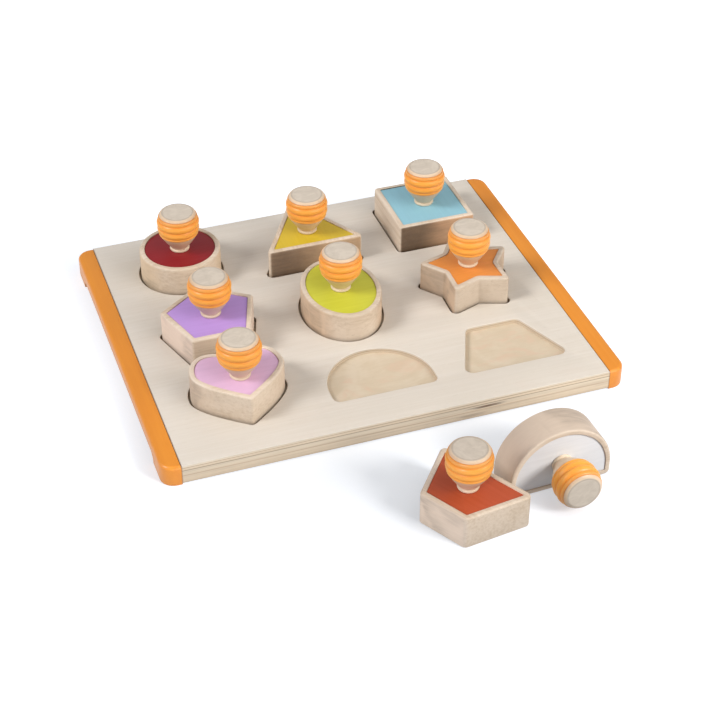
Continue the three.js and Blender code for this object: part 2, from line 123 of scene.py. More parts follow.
def outline(shape, inset=0.0):
    """Points of a shape's outline with its corners rounded, moved inwards by inset."""
    corners, radii = shape
    moved = []
    for i in range(len(corners)):
        here, _, half, _, inward = corner_frame(corners, i)
        moved.append(here + inward * inset / math.sin(half))
    points = []
    for i, radius in enumerate(radii):
        here, back, half, convex, inward = corner_frame(moved, i)
        if radius <= 0:
            points.append(here)
            continue
        side = 1 if convex else -1
        radius = max(radius - side * inset, LEAST_CORNER)
        centre = here + inward * side * radius / math.sin(half)
        start = here + back * radius / math.tan(half) - centre
        for k in range(CORNER_STEPS + 1):
            turn = side * (math.pi - 2 * half) * k / CORNER_STEPS
            c, s = math.cos(turn), math.sin(turn)
            points.append(centre + Vector((start.x * c - start.y * s, start.x * s + start.y * c)))
    return points


def regular(count, radius_of, first=math.pi / 2):
    """Corners at even angles round the axis, each at its own distance."""
    angles = [first + 2 * math.pi * i / count for i in range(count)]
    return [Vector((radius_of(i) * math.cos(a), radius_of(i) * math.sin(a))) for i, a in enumerate(angles)]


def even(corners, radius):
    """A shape with the same rounding at each of its corners."""
    return corners, [radius] * len(corners)


def oval(width, length):
    circle = regular(OVAL_STEPS, lambda i: 1.0, 0.0)
    return even([Vector((p.x * width / 2, p.y * length / 2)) for p in circle], 0.0)


def heart():
    """Three curves and their mirror image. Points close to the tip and the notch are left out."""
    first, _, last = HEART_CURVE_SHARES
    right = []
    for curve in HEART_CURVE_SHARES:
        for k in range(HEART_STEPS):
            t = k / HEART_STEPS
            near_tip = curve is first and 0 < t < HEART_END_SHARE
            near_notch = curve is last and t > 1 - HEART_END_SHARE
            if near_tip or near_notch:
                continue
            weights = ((1 - t) ** 3, 3 * t * (1 - t) ** 2, 3 * t * t * (1 - t), t ** 3)
            x, y = (sum(w * c[axis] for w, c in zip(weights, curve)) for axis in (0, 1))
            right.append(Vector((x * HEART_W / 2, (y - HEART_KNOB_SHARE) * HEART_H)))
    notch = Vector((0, (last[-1][1] - HEART_KNOB_SHARE) * HEART_H))
    left = [Vector((-p.x, p.y)) for p in reversed(right[1:])]
    corners = right + [notch] + left
    return corners, [HEART_CORNER] + [0.0] * (len(corners) - 1)


def half_round():
    corners = [Vector((-HALF_ROUND_R, -HALF_ROUND_KNOB)), Vector((HALF_ROUND_R, -HALF_ROUND_KNOB))]
    middle = HALF_ROUND_STRAIGHT - HALF_ROUND_KNOB
    for k in range(HALF_ROUND_STEPS + 1):
        a = math.pi * k / HALF_ROUND_STEPS
        corners.append(Vector((HALF_ROUND_R * math.cos(a), middle + HALF_ROUND_R * math.sin(a))))
    return corners, [HALF_ROUND_CORNER] * 2 + [0.0] * (HALF_ROUND_STEPS + 1)


def trapezoid():
    front, back = -TRAPEZOID_KNOB, TRAPEZOID_H - TRAPEZOID_KNOB
    return even([Vector((-TRAPEZOID_FRONT / 2, front)), Vector((TRAPEZOID_FRONT / 2, front)),
                 Vector((TRAPEZOID_BACK / 2, back)), Vector((-TRAPEZOID_BACK / 2, back))], TRAPEZOID_CORNER)


def board_plan():
    half_w, half_d = BOARD_W / 2, BOARD_D / 2
    return even([Vector((-half_w, -half_d)), Vector((half_w, -half_d)), Vector((half_w, half_d)),
                 Vector((-half_w, half_d))], 0.0)


SHAPES = {
    "circle": oval(CIRCLE_D, CIRCLE_D),
    "triangle": even(regular(3, lambda i: TRIANGLE_SIDE / math.sqrt(3)), TRIANGLE_CORNER),
    "square": even(regular(4, lambda i: SQUARE_SIDE / math.sqrt(2), math.pi / 4), SQUARE_CORNER),
    "pentagon": even(regular(5, lambda i: PENTAGON_REACH), PENTAGON_CORNER),
    "ellipse": oval(ELLIPSE_W, ELLIPSE_L),
    "star": even(regular(10, lambda i: STAR_WAIST if i % 2 else STAR_TIP), STAR_CORNER),
    "heart": heart(),
    "half_round": half_round(),
    "trapezoid": trapezoid(),
}
LOOSE = ("half_round", "trapezoid")


def front_reach(name):
    """How far a shape's recess reaches forward from the knob's axis."""
    return -min(p.y for p in outline(SHAPES[name], -CLEARANCE))


def row(place):
    """How far behind the board's middle a row lies."""
    return (ROW_SHARES[place] - 0.5) * BOARD_D


COLUMN = COLUMN_SHARE * BOARD_W
PLACES = {
    "circle": (-COLUMN, row("back_sides") + front_reach("circle")),
    "triangle": (0.0, row("back_sides") + front_reach("triangle")),
    "square": (COLUMN, row("back_sides") + front_reach("square")),
    "pentagon": (-COLUMN, row("middle")),
    "ellipse": (0.0, row("middle")),
    "star": (STAR_COLUMN_SHARE * BOARD_W, row("star")),
    "heart": (-COLUMN, row("heart")),
    "half_round": (0.0, row("front_sides") + front_reach("half_round")),
    "trapezoid": (COLUMN, row("front_sides") + front_reach("trapezoid")),
}


def placing(name):
    """Where a piece stands: in its recess, or out on the table."""
    if name == "trapezoid":
        place = Matrix.Translation((TRAPEZOID_X, -BOARD_D / 2 - TRAPEZOID_AHEAD, TABLE))
        return place @ Matrix.Rotation(math.radians(TRAPEZOID_TURN), 4, "Z")
    if name == "half_round":
        place = Matrix.Translation((HALF_ROUND_X, -BOARD_D / 2 - HALF_ROUND_AHEAD, TABLE + HALF_ROUND_KNOB))
        turn = Matrix.Rotation(math.radians(HALF_ROUND_TURN), 4, "Z")
        return place @ turn @ Matrix.Rotation(math.pi / 2, 4, "X")
    x, y = PLACES[name]
    return Matrix.Translation((x, y, BASE_T + REST_GAP))


# Meshes

def build_mesh(name, points, faces, place=Matrix.Identity(4), smooth=35.0):
    """A mesh in metres. Its grain attribute keeps each point's place in the piece's own frame."""
    mesh = bpy.data.meshes.new(name)
    mesh.from_pydata([(place @ Vector(p)) * MM for p in points], [], faces)
    mesh.polygons.foreach_set("use_smooth", [True] * len(mesh.polygons))
    mesh.set_sharp_from_angle(angle=math.radians(smooth))
    grain = mesh.attributes.new("grain", "FLOAT_VECTOR", "POINT")
    grain.data.foreach_set("vector", [value * MM for p in points for value in p])
    mesh.validate()
    obj = bpy.data.objects.new(name, mesh)
    bpy.context.scene.collection.objects.link(obj)
    return obj


def side_faces(count, rings):
    """Faces between closed rings of count points each, one above another."""
    faces = []
    for r in range(rings - 1):
        for i in range(count):
            a, b = r * count + i, r * count + (i + 1) % count
            faces.append((a, b, b + count, a + count))
    return faces


def stacked(rings, capped=True):
    """Points and faces of closed rings one above another. Each ring is (points, height)."""
    count = len(rings[0][0])
    points = [(p.x, p.y, z) for ring, z in rings for p in ring]
    faces = side_faces(count, len(rings))
    if capped:
        last = (len(rings) - 1) * count
        faces += [tuple(range(count - 1, -1, -1)), tuple(range(last, last + count))]
    return points, faces


def quarter(steps):
    """Sines and cosines of even steps from 0 to 90 degrees."""
    angles = [math.pi / 2 * k / steps for k in range(steps + 1)]
    return [(math.sin(a), math.cos(a)) for a in angles]


def turned(profile, count):
    """Points and faces of a closed [radius, height] profile turned about Z, from bottom to top."""
    points, faces = [], []
    rows = []
    for radius, z in profile:
        if radius == 0:
            rows.append([len(points)] * count)
            points.append((0.0, 0.0, z))
        else:
            rows.append(list(range(len(points), len(points) + count)))
            angles = [2 * math.pi * k / count for k in range(count)]
            points += [(radius * math.cos(a), radius * math.sin(a), z) for a in angles]
    for lower, upper in zip(rows, rows[1:]):
        for k in range(count):
            n = (k + 1) % count
            ring = [lower[k], lower[n], upper[n], upper[k]]
            faces.append(tuple(dict.fromkeys(ring)))
    return points, faces


def spline(places):
    """Points along a smooth curve through the places."""
    ends = [places[0]] + places + [places[-1]]
    out = []
    for i in range(1, len(ends) - 2):
        near = ends[i - 1:i + 3]
        for k in range(SPLINE_STEPS):
            t = k / SPLINE_STEPS
            out.append(tuple(0.5 * (2 * b + (c - a) * t + (2 * a - 5 * b + 4 * c - d) * t * t
                                    + (3 * b - a - 3 * c + d) * t ** 3) for a, b, c, d in zip(*near)))
    out.append(places[-1])
    return out


# Colours

BLOCK_TONES, KNOB_TONES, DOWEL_TONES = ("e2d2c0", "c6b198"), ("e3d1b9", "d0bba0"), ("cbb28a", "ad9169")
# The lid's rim tone is painted shade where the flat top meets its rounded edge, and the neck tone painted
# shade under the rubber ring
LID_TONES, LID_EDGE_SHADE, SHOULDER, NECK_SHADE = ("d2c7ba", "c2b7aa"), "8f7a66", "d9ad84", "d6b28c"
# The rubber's two tones are its lit crests and the painted shade between its ribs; its lip tone is painted
# shade at its upper and lower edges
RUBBER_LIT_AND_SHADED, RUBBER_EDGE_SHADE, RUBBER_SHEEN = ("ffb24a", "ee9030"), "e09a52", "ffdc88"
# The lacquer's seam tone is painted shade in the seam between a rail and the board
LACQUER_TONES, LACQUER_SEAM_SHADE = ("e18f2c", "d98525"), "7a4c22"
SHEET_TONES, BASE_TONES = ("dbd3c9", "d5ccc0", "d9cbbf"), ("d5c6b0", "ccbba2", "d4b8a0")
# The third of these tones is painted shade low on the recess walls, the fourth painted shade along the seam
# with the rails
PLY_FIBRE, PLY_BREAK, RECESS_WALL_SHADE, PLY_SEAM_SHADE = "9d8462", "6b421c", "46341f", "6b5641"
FLOOR_TONES, FLOOR_GLOW = ("c4c5c8", "c1c3c6"), "f5f9ff"

# The plies seen on a cut edge, from the underside to the top: where each tone is reached, and the tone
PLIES = [(0.0, "cdb28f"), (0.1, "f0dcc2"), (0.38, "f5e4cd"), (0.43, "dac0a0"), (0.47, "f5e4cd"),
         (0.69, "f7ead6"), (0.725, "a88b6a"), (0.755, "f0dec5"), (0.84, "f5e6d1"), (0.875, "c6ab88"),
         (0.905, "f4e6d3")]
# Dark breaks in the plies of the front and back edges: middle, reach, levels as shares, and strength
BREAKS = [(75.0, 30.0, 0.53, 0.62, 0.85), (58.0, 30.0, 0.12, 0.26, 0.35)]

# Each face's slot name, and its paint
FACES = {
    "circle": ("dark_red", "8a0a16"), "triangle": ("yellow", "d3b62c"), "square": ("light_blue", "90c3d4"),
    "pentagon": ("lilac", "b792d8"), "ellipse": ("lime", "c6c638"), "star": ("orange_paint", "de8a3a"),
    "heart": ("pink", "deb6d7"), "half_round": ("white", "dfe0e3"), "trapezoid": ("rust", "b84d24"),
}
# Each block's grain: its axis, the tone of its ends, how dark their rings are, and the whole's lightness
GRAINS = {
    "circle": ("X", "cfb99d", 0.74, 1.0), "triangle": ("Y", "836b55", 0.7, 1.0),
    "square": ("Y", "6e563f", 0.7, 0.98), "pentagon": ("X", "decabb", 0.76, 1.0),
    "ellipse": ("X", "cdb49a", 0.77, 0.95), "star": ("X", "bda58d", 0.74, 0.84),
    "heart": ("X", "c9b6a3", 0.74, 1.01), "half_round": ("X", "c3b1a0", 0.78, 1.0),
    "trapezoid": ("X", "decab5", 0.74, 1.0),
}
# How far each piece's grain is moved on from that of the piece before it
GRAIN_SHIFT = 0.37
# Blocks whose ends fade to a paler tone, from one place across them to another
FADES = {"triangle": ("bc9d7a", -28.0, 22.0), "square": ("c69b76", -16.0, 20.0)}
# The block that stands on edge has the tone of its ends all round this axis
ENDS_ROUND = {"half_round": "Y"}


def rgb(text, gain=1.0):
    """A linear colour from a hex string."""
    values = [int(text[i:i + 2], 16) / 255 for i in (0, 2, 4)]
    linear = [v / 12.92 if v <= 0.04045 else ((v + 0.055) / 1.055) ** 2.4 for v in values]
    return tuple([v * gain for v in linear] + [1.0])


def shade(color, share, lift=0.0):
    """A colour made darker or lighter by a share, and lifted by the same amount all over."""
    return tuple([min(1.0, value * share + lift) for value in color[:3]] + [1.0])


# Materials: small node networks made of a few helpers

class Net:
    """The nodes of one material."""

    def __init__(self, name, source="grain"):
        self.source = source
        self.material = bpy.data.materials.new(name)
        self.material.use_nodes = True
        self.tree = self.material.node_tree
        self.shader = self.tree.nodes["Principled BSDF"]

    def add(self, kind, inputs=None, **settings):
        node = self.tree.nodes.new(kind)
        for key, value in settings.items():
            setattr(node, key, value)
        for key, value in (inputs or {}).items():
            self.put(node.inputs[key], value)
        return node

    def put(self, socket, value):
        if isinstance(value, bpy.types.NodeSocket):
            self.tree.links.new(value, socket)
        else:
            socket.default_value = value

    def set(self, **values):
        for key, value in values.items():
            self.put(self.shader.inputs[key.replace("_", " ")], value)

    def attribute(self, name):
        return self.add("ShaderNodeAttribute", attribute_name=name).outputs["Fac"]

    def place(self, scale=(1, 1, 1), shift=(0, 0, 0)):
        """The place on the piece, scaled: from its grain attribute, or from the object itself."""
        if self.source == "grain":
            place = self.add("ShaderNodeAttribute", attribute_name="grain").outputs["Vector"]
        else:
            place = self.add("ShaderNodeTexCoord").outputs["Object"]
        mapping = self.add("ShaderNodeMapping", {"Vector": place, "Scale": scale, "Location": shift})
        return mapping.outputs["Vector"]

    def axes(self):
        """The place on the piece in metres, one output for each axis."""
        return self.add("ShaderNodeSeparateXYZ", {0: self.place()}).outputs

    def facing(self, axis):
        """How squarely the surface faces along an axis, either way, from 0 to 1."""
        normal = self.add("ShaderNodeTexCoord").outputs["Normal"]
        return self.math("ABSOLUTE", self.add("ShaderNodeSeparateXYZ", {0: normal}).outputs[axis])

    def noise(self, scale, shift=(0, 0, 0), detail=2.0, rough=0.5, distortion=0.0):
        return self.add("ShaderNodeTexNoise", {"Vector": self.place(scale, shift), "Scale": 1.0,
                                               "Detail": detail, "Roughness": rough,
                                               "Distortion": distortion}).outputs["Fac"]

    def math(self, operation, a, b=0.0, clamp=False):
        return self.add("ShaderNodeMath", {0: a, 1: b}, operation=operation, use_clamp=clamp).outputs[0]

    def times(self, a, b):
        return self.math("MULTIPLY", a, b)

    def plus(self, a, b, clamp=False):
        return self.math("ADD", a, b, clamp)

    def length(self, vector):
        return self.add("ShaderNodeVectorMath", {0: vector}, operation="LENGTH").outputs["Value"]

    def span(self, value, low, high, start=0.0, end=1.0, smooth=False):
        """Goes from start to end while the value goes from low to high."""
        limits = {"Value": value, "From Min": low, "From Max": high, "To Min": start, "To Max": end}
        kind = "SMOOTHSTEP" if smooth else "LINEAR"
        return self.add("ShaderNodeMapRange", limits, interpolation_type=kind).outputs["Result"]

    def mix(self, share, a, b):
        node = self.add("ShaderNodeMix", data_type="RGBA", blend_type="MIX")
        for index, value in ((0, share), (6, a), (7, b)):
            self.put(node.inputs[index], value)
        return node.outputs[2]

    def ramp(self, value, stops):
        node = self.add("ShaderNodeValToRGB", {"Fac": value})
        band = node.color_ramp
        while len(band.elements) < len(stops):
            band.elements.new(0.5)
        for element, (place, color) in zip(band.elements, stops):
            element.position = place
            element.color = color
        return node.outputs["Color"]

    def bump(self, height, strength, distance):
        node = self.add("ShaderNodeBump", {"Height": height, "Strength": strength, "Distance": distance})
        self.put(self.shader.inputs["Normal"], node.outputs["Normal"])


def stretched(axis, along, across):
    """A mapping scale with the grain along one axis."""
    return tuple(along if axis == each else across for each in "XYZ")


def below_top(drop):
    """A height in metres, given as a drop from the knob's top."""
    return (KNOB_TOP - drop) * MM


def wood_grain(net, tones, axis, shift, contrast=1.0):
    """Pale close-grained wood: drifting bands, long fibres, threads and short pores."""
    light, dark = tones
    drift = net.noise(stretched(axis, 6, 26), (shift, shift * 1.7, shift), distortion=0.6)
    fibres = net.noise(stretched(axis, 14, 420), (shift, 0, shift * 2), 4.0, 0.6, 0.2)
    threads = net.noise(stretched(axis, 40, 1500), (0, shift, 0), 3.0, 0.6)
    pores = net.span(net.noise(stretched(axis, 130, 1900), (shift, 0, 0), 1.0), 0.66, 0.74)
    tone = net.plus(net.times(drift, 0.55), net.times(fibres, 0.45 * contrast))
    color = net.mix(net.span(tone, 0.36, 0.64, smooth=True), light, dark)
    color = net.mix(net.times(net.span(threads, 0.45, 0.7), 0.18 * contrast), color, dark)
    color = net.mix(net.times(pores, 0.35 * contrast), color, shade(dark, 0.45))
    return color, fibres, pores


def finish_wood(net, color, fibres, pores, rough=0.55, coat=0.0):
    """The wood's colour, its roughness, its coat, and the relief of its fibres and pores."""
    net.set(Base_Color=color, Roughness=net.span(fibres, 0.2, 0.8, rough - 0.07, rough + 0.09),
            Coat_Weight=coat, Coat_Roughness=0.25, IOR=1.45)
    net.bump(net.plus(fibres, net.times(pores, -0.8)), 0.22, 0.3 * MM)
    return net


def end_grain(net, shift, tone, ring_share, fade=None):
    """Fine rings, either in drifting paler bands or fading to a paler tone across the block."""
    rings = net.noise((38, 38, 290), (shift, shift, 0), 4.0, 0.62, 0.9)
    color = net.mix(net.span(rings, 0.36, 0.64), tone, shade(tone, ring_share))
    bands = net.noise((22, 22, 16), (shift * 3, 0, 0), distortion=1.0)
    if fade is None:
        paler = shade(tone, 1.8 - 0.8 * ring_share)
        return net.mix(net.span(bands, 0.4, 0.56, 0.0, 0.8, smooth=True), color, paler)
    far_tone, start, end = fade
    place = net.plus(net.axes()["X"], net.span(bands, 0.3, 0.7, -6 * MM, 6 * MM))
    far = net.mix(net.span(rings, 0.35, 0.7, 0.0, 0.3), rgb(far_tone), tone)
    return net.mix(net.span(place, start * MM, end * MM, smooth=True), color, far)


def block_wood(name, shift):
    """A block's wood, grained along an axis. The sides that face along the board's same axis are ends."""
    axis, end_tone, ring_share, gain = GRAINS[name]
    net = Net(name + "_wood")
    tones = [rgb(tone, gain) for tone in BLOCK_TONES]
    color, fibres, pores = wood_grain(net, tones, axis, shift, 0.8)
    if name in ENDS_ROUND:
        at_ends = net.span(net.facing(ENDS_ROUND[name]), 0.8, 0.4, smooth=True)
    else:
        at_ends = net.span(net.facing(axis), 0.55, 0.95, smooth=True)
    ends = end_grain(net, shift, rgb(end_tone), ring_share, FADES.get(name))
    return finish_wood(net, net.mix(net.times(at_ends, 0.9), color, ends), fibres, pores)


def knob_wood(name, shift):
    """A knob's wood: greyer end grain on its flat top with painted shade in a thin ring at its edge, a warmer
    tan on the bevel deepening towards the rubber, and painted shade on the neck and the belly's underside
    below the rubber.
    """
    net = Net(name + "_knob_wood")
    color, fibres, pores = wood_grain(net, [rgb(tone) for tone in KNOB_TONES], "X", shift, 0.8)
    place = net.axes()
    height = place["Z"]
    lid = net.span(height, below_top(0.35), below_top(0.05))
    stain = net.noise((70, 110, 70), (shift, shift, 0), 3.0, 0.6, 1.5)
    lid_color = net.mix(net.span(stain, 0.35, 0.7), *[rgb(tone) for tone in LID_TONES])
    color = net.mix(net.times(lid, 0.85), color, lid_color)
    flat = net.add("ShaderNodeCombineXYZ", {"X": place["X"], "Y": place["Y"]}).outputs[0]
    # Painted shade: a thin darker ring where the flat top turns into its rounded edge
    lid_edge_shade = net.times(net.span(net.length(flat), 12.3 * MM, 13.7 * MM, smooth=True), lid)
    color = net.mix(net.times(lid_edge_shade, 0.35), color, rgb(LID_EDGE_SHADE))
    shoulder = net.span(height, below_top(0.1), below_top(1.8), 0.35, 1.0, smooth=True)
    shoulder = net.times(shoulder, net.math("SUBTRACT", 1.0, lid))
    shoulder = net.times(shoulder, net.span(height, below_top(12), below_top(3)))
    color = net.mix(net.times(shoulder, 0.6), color, rgb(SHOULDER))
    # Painted shade on the neck and the belly's underside, below the rubber ring
    neck = net.span(height, (KNOB_SEAT + 2.2) * MM, (KNOB_SEAT + 4.5) * MM)
    neck = net.times(neck, net.span(height, below_top(12), below_top(22)))
    color = net.mix(net.times(neck, 0.4), color, rgb(NECK_SHADE))
    return finish_wood(net, color, fibres, pores, rough=0.42, coat=0.1)


def dowel_wood():
    net = Net("dowel_wood_look", source="object")
    return finish_wood(net, *wood_grain(net, [rgb(tone) for tone in DOWEL_TONES], "X", 2.0))


def paint(name, color, axis, shift):
    """Thin satin paint: the wood's fibres show a little, and it is slightly cloudy."""
    net = Net(name + "_paint")
    fibres = net.noise(stretched(axis, 18, 330), (shift, 0, shift), 4.0, 0.6, 0.2)
    clouds = net.noise((22, 22, 22), (shift, shift, 0), 3.0, 0.55)
    tone = net.plus(net.times(fibres, 0.45), net.times(clouds, 0.55))
    net.set(Base_Color=net.mix(net.span(tone, 0.35, 0.65), shade(color, 0.934), shade(color, 1.03, 0.012)),
            Roughness=net.span(clouds, 0.3, 0.7, 0.36, 0.5), Coat_Weight=0.08, Coat_Roughness=0.3)
    net.bump(fibres, 0.12, 0.2 * MM)
    return net


def rubber():
    """Soft moulded rubber, a little translucent, with painted shade between its ribs and at its upper and
    lower edges.
    """
    net = Net("grip_rubber")
    speck = net.noise((900, 900, 900), rough=0.6)
    clouds = net.noise((60, 60, 60))
    # Painted shade between the ribs, deepest in the valleys, with a little cloudiness
    share = net.plus(net.times(net.attribute("depth"), 0.8), net.times(clouds, 0.25), clamp=True)
    color = net.mix(share, *[rgb(tone) for tone in RUBBER_LIT_AND_SHADED])
    height = net.axes()["Z"]
    # Painted shade at the ring's upper and lower edges, where it meets the knob's bevel above and its belly
    # below
    for inside, edge in ((6.2, 3.0), (18.8, 21.3)):
        lip = net.span(height, below_top(inside), below_top(edge), smooth=True)
        color = net.mix(net.times(lip, 0.6), color, rgb(RUBBER_EDGE_SHADE))
    net.set(Base_Color=color, Roughness=net.span(speck, 0.2, 0.8, 0.34, 0.48),
            Sheen_Weight=0.9, Sheen_Roughness=0.3, Sheen_Tint=rgb(RUBBER_SHEEN),
            Subsurface_Weight=0.15, Subsurface_Radius=(0.004, 0.0022, 0.0008), Subsurface_Scale=0.4)
    net.bump(speck, 0.08, 0.15 * MM)
    return net


def rail_seam_shade(net, color, tone, near, far):
    """Paints shade into the seam between the board and a rail, from near to far beyond the board's side."""
    across = net.math("ABSOLUTE", net.axes()["X"])
    seam = net.span(across, (BOARD_W / 2 + near) * MM, (BOARD_W / 2 + far) * MM)
    return net.mix(net.times(seam, 0.5), color, rgb(tone))


def veneer(net, tones, curl):
    """The plywood's flat faces: its drifting figure, waved by curl, a warmer blush, and pores."""
    light, dark, warm = [rgb(tone) for tone in tones]
    drift = net.noise((5 + 14 * curl, 24, 24), distortion=0.5 + 1.4 * curl)
    fibres = net.noise((11 + 40 * curl, 360 - 180 * curl, 360), (3, 0, 0), 4.0, 0.6, 0.3 + curl)
    pores = net.span(net.noise((110, 1700, 1700), detail=1.0), 0.68, 0.76)
    tone = net.plus(net.times(drift, 0.5 + 0.2 * curl), net.times(fibres, 0.5 - 0.2 * curl))
    color = net.mix(net.span(tone, 0.34, 0.66, smooth=True), light, dark)
    blush = net.span(net.noise((20, 34, 20), (7, 1, 0), 3.0, 0.6, 1.8), 0.5, 0.72, smooth=True)
    color = net.mix(net.times(blush, 0.2 + 0.45 * curl), color, warm)
    return net.mix(net.times(pores, 0.18), color, rgb(PLY_FIBRE)), fibres, pores


def cut_edge(net):
    """The plywood's cut edges: wavy plies with streaks, a few knots and dark breaks."""
    place = net.axes()
    wave = net.times(net.math("SUBTRACT", net.noise((9, 9, 60)), 0.5), 1.1 * MM)
    share = net.math("DIVIDE", net.plus(place["Z"], wave), BOARD_TOP * MM)
    color = net.ramp(share, [(level, rgb(tone)) for level, tone in PLIES])
    streaks = net.noise((9, 9, 650), (1, 0, 2), 4.0, 0.65, 0.2)
    color = net.mix(net.times(net.span(streaks, 0.46, 0.78), 0.42), color, rgb(PLY_FIBRE))
    knots = net.noise((13, 13, 210), (4.2, 0, 0), distortion=0.4)
    color = net.mix(net.times(net.span(knots, 0.63, 0.76, smooth=True), 0.22), color, rgb(PLY_BREAK))
    cracks = net.noise((30, 30, 900), (0, 0, 5), 3.0, 0.6, 0.4)
    for middle, reach, low, high, strength in BREAKS:
        away = net.math("ABSOLUTE", net.math("SUBTRACT", place["X"], middle * MM))
        near = net.span(away, reach * MM, 0.0, smooth=True)
        within = net.times(net.span(share, low - 0.03, low), net.span(share, high + 0.03, high))
        fleck = net.span(net.plus(cracks, net.times(near, 0.22)), 0.56, 0.66, 0.0, strength)
        color = net.mix(net.times(net.times(near, within), fleck), color, rgb(PLY_BREAK))
    return color


def plywood(name, tones, curl=0.0):
    """Veneer on the flat faces, plies along the cut edges, painted shade low on the recess walls, and painted
    shade along the seam with the rails.
    """
    net = Net(name)
    flat, fibres, pores = veneer(net, tones, curl)
    color = net.mix(net.span(net.facing("Z"), 0.2, 0.45), cut_edge(net), flat)
    # Painted shade low on the recess walls, darker round the seated blocks
    color = net.mix(net.times(net.attribute("burn"), 0.75), color, rgb(RECESS_WALL_SHADE))
    # Painted shade along the seam with the rails
    color = rail_seam_shade(net, color, PLY_SEAM_SHADE, -0.75, -0.35)
    net.set(Base_Color=color, Roughness=net.span(fibres, 0.2, 0.8, 0.45, 0.6), IOR=1.45)
    net.bump(net.plus(fibres, net.times(pores, -0.6)), 0.15, 0.3 * MM)
    return net


def lacquer():
    """Orange lacquer over wood: a faint grain under a glossy coat with a slight ripple, and painted shade in
    its seam with the board.
    """
    net = Net("rail_lacquer")
    fibres = net.noise((260, 9, 260), (0, 0, 0), 4.0, 0.6, 0.3)
    clouds = net.noise((30, 12, 30), detail=3.0)
    tone = net.plus(net.times(fibres, 0.5), net.times(clouds, 0.5))
    color = net.mix(net.span(tone, 0.35, 0.65), *[rgb(tone) for tone in LACQUER_TONES])
    # Painted shade in the seam with the board
    net.set(Base_Color=rail_seam_shade(net, color, LACQUER_SEAM_SHADE, 0.7, 0.25),
            Roughness=net.span(clouds, 0.3, 0.7, 0.4, 0.5), Coat_Weight=0.2, Coat_Roughness=0.2)
    net.bump(net.plus(fibres, net.times(clouds, 2.0)), 0.08, 0.3 * MM)
    return net


def floor_white():
    """A plain pale floor that glows, but less round the loose pieces, where their shadows fall."""
    net = Net("floor_white")
    away = net.length(net.place(shift=(-0.02, 0.27, 0)))
    net.set(Base_Color=net.mix(net.noise((2, 2, 2)), *[rgb(tone) for tone in FLOOR_TONES]), Roughness=0.9,
            Emission_Color=rgb(FLOOR_GLOW),
            Emission_Strength=net.span(away, 0.12, 0.36, 0.46, 0.8, smooth=True))
    return net


def dress(obj, net, body, node):
    """Gives a piece its material and its body, and hides the CAD node it stands for."""
    obj.data.materials.clear()
    obj.data.materials.append(net.material)
    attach(obj, body)
    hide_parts(node)
    return obj


# Block, inlay, knob and grip

def make_block(name, net):
    """A block with a small round at its foot, a larger one at its edge, and the lip and wall of its tray."""
    shape = SHAPES[name]
    rings = [(outline(shape, BLOCK_FOOT * (1 - s)), BLOCK_FOOT * (1 - c))
             for s, c in quarter(BLOCK_FOOT_STEPS)]
    rings += [(outline(shape, BLOCK_EDGE * (1 - c)), BLOCK_T - BLOCK_EDGE * (1 - s))
              for s, c in quarter(BLOCK_EDGE_STEPS)]
    rings += [(outline(shape, RIM - TRAY_LIP + TRAY_LIP * s), BLOCK_T - TRAY_LIP * (1 - c))
              for s, c in quarter(LIP_STEPS)]
    rings.append((outline(shape, RIM), BLOCK_T - TRAY_DEPTH))
    points, faces = stacked(rings)
    block = build_mesh(name + "_body", points, faces, placing(name))
    return dress(block, net, name + "_piece", name + "_block")


# The inlay's wall and eased edge, from its foot up: inset, and drop from the top
FACE_WALL = [(TOUCH, FACE_T), (TOUCH, 0.25), (0.1, 0.07), (0.3, 0.0)]


def make_face(name, net):
    """The coloured inlay in the tray."""
    top = BLOCK_T - SUNK
    points, faces = stacked([(outline(SHAPES[name], RIM + inset), top - drop) for inset, drop in FACE_WALL])
    inlay = build_mesh(name + "_inlay", points, faces, placing(name))
    return dress(inlay, net, name + "_piece", name + "_face")


# The knob's profile above its bead: radius, and drop from the top
KNOB_BELLY = [(8.05, 35.6), (8.2, 34.8), (9.2, 33.2), (11.05, 30.8), (13.3, 27.6), (15.1, 24.7),
              (16.3, 22.6), (16.6, 21.8)]
KNOB_GROOVE = [(16.4, 21.6), (14.9, 21.55), (14.65, 21.2), (14.65, 2.75), (14.9, 2.5), (16.1, 2.45)]
KNOB_BEVEL = [(16.4, 2.2), (16.2, 1.6), (15.5, 0.95), (14.4, 0.25)]
KNOB_LID = [(14.05, 0.1), (13.8, 0.01), (13.4, 0.0), (0.0, -0.02)]
BEAD_R, BEAD_BULGE, BEAD_MIDDLE, BEAD_HALF = 8.1, 0.8, 1.35, 1.25


def knob_profile():
    """Profile of the turned knob from its seat up: bead, neck, round belly, groove, bevel, flat top."""
    profile = [(0.0, KNOB_SEAT), (BEAD_R, KNOB_SEAT)]
    for k in range(BEAD_STEPS + 1):
        a = -math.pi / 2 + math.pi * k / BEAD_STEPS
        height = KNOB_SEAT + BEAD_MIDDLE + BEAD_HALF * math.sin(a)
        profile.append((BEAD_R + BEAD_BULGE * math.cos(a), height))
    belly, groove, bevel, lid = ([(radius, KNOB_TOP - drop) for radius, drop in stretch]
                                 for stretch in (KNOB_BELLY, KNOB_GROOVE, KNOB_BEVEL, KNOB_LID))
    return profile + spline(belly) + groove + spline(bevel) + lid


def make_knob(name, net):
    points, faces = turned(knob_profile(), KNOB_STEPS)
    knob = build_mesh(name + "_turning", points, faces, placing(name), smooth=40.0)
    return dress(knob, net, name + "_piece", name + "_knob")


# The rubber ring: its ends as drops from the knob's top, its inside, how its ends are drawn in, and the
# painted shade at its head
GRIP_FOOT_DROP, GRIP_HEAD_DROP, GRIP_INSIDE_R = 21.5, 2.6, 14.75
GRIP_DRAWN_IN, GRIP_HEAD_RISE, GRIP_HEAD_SHADE = 0.5, 0.05, 0.6


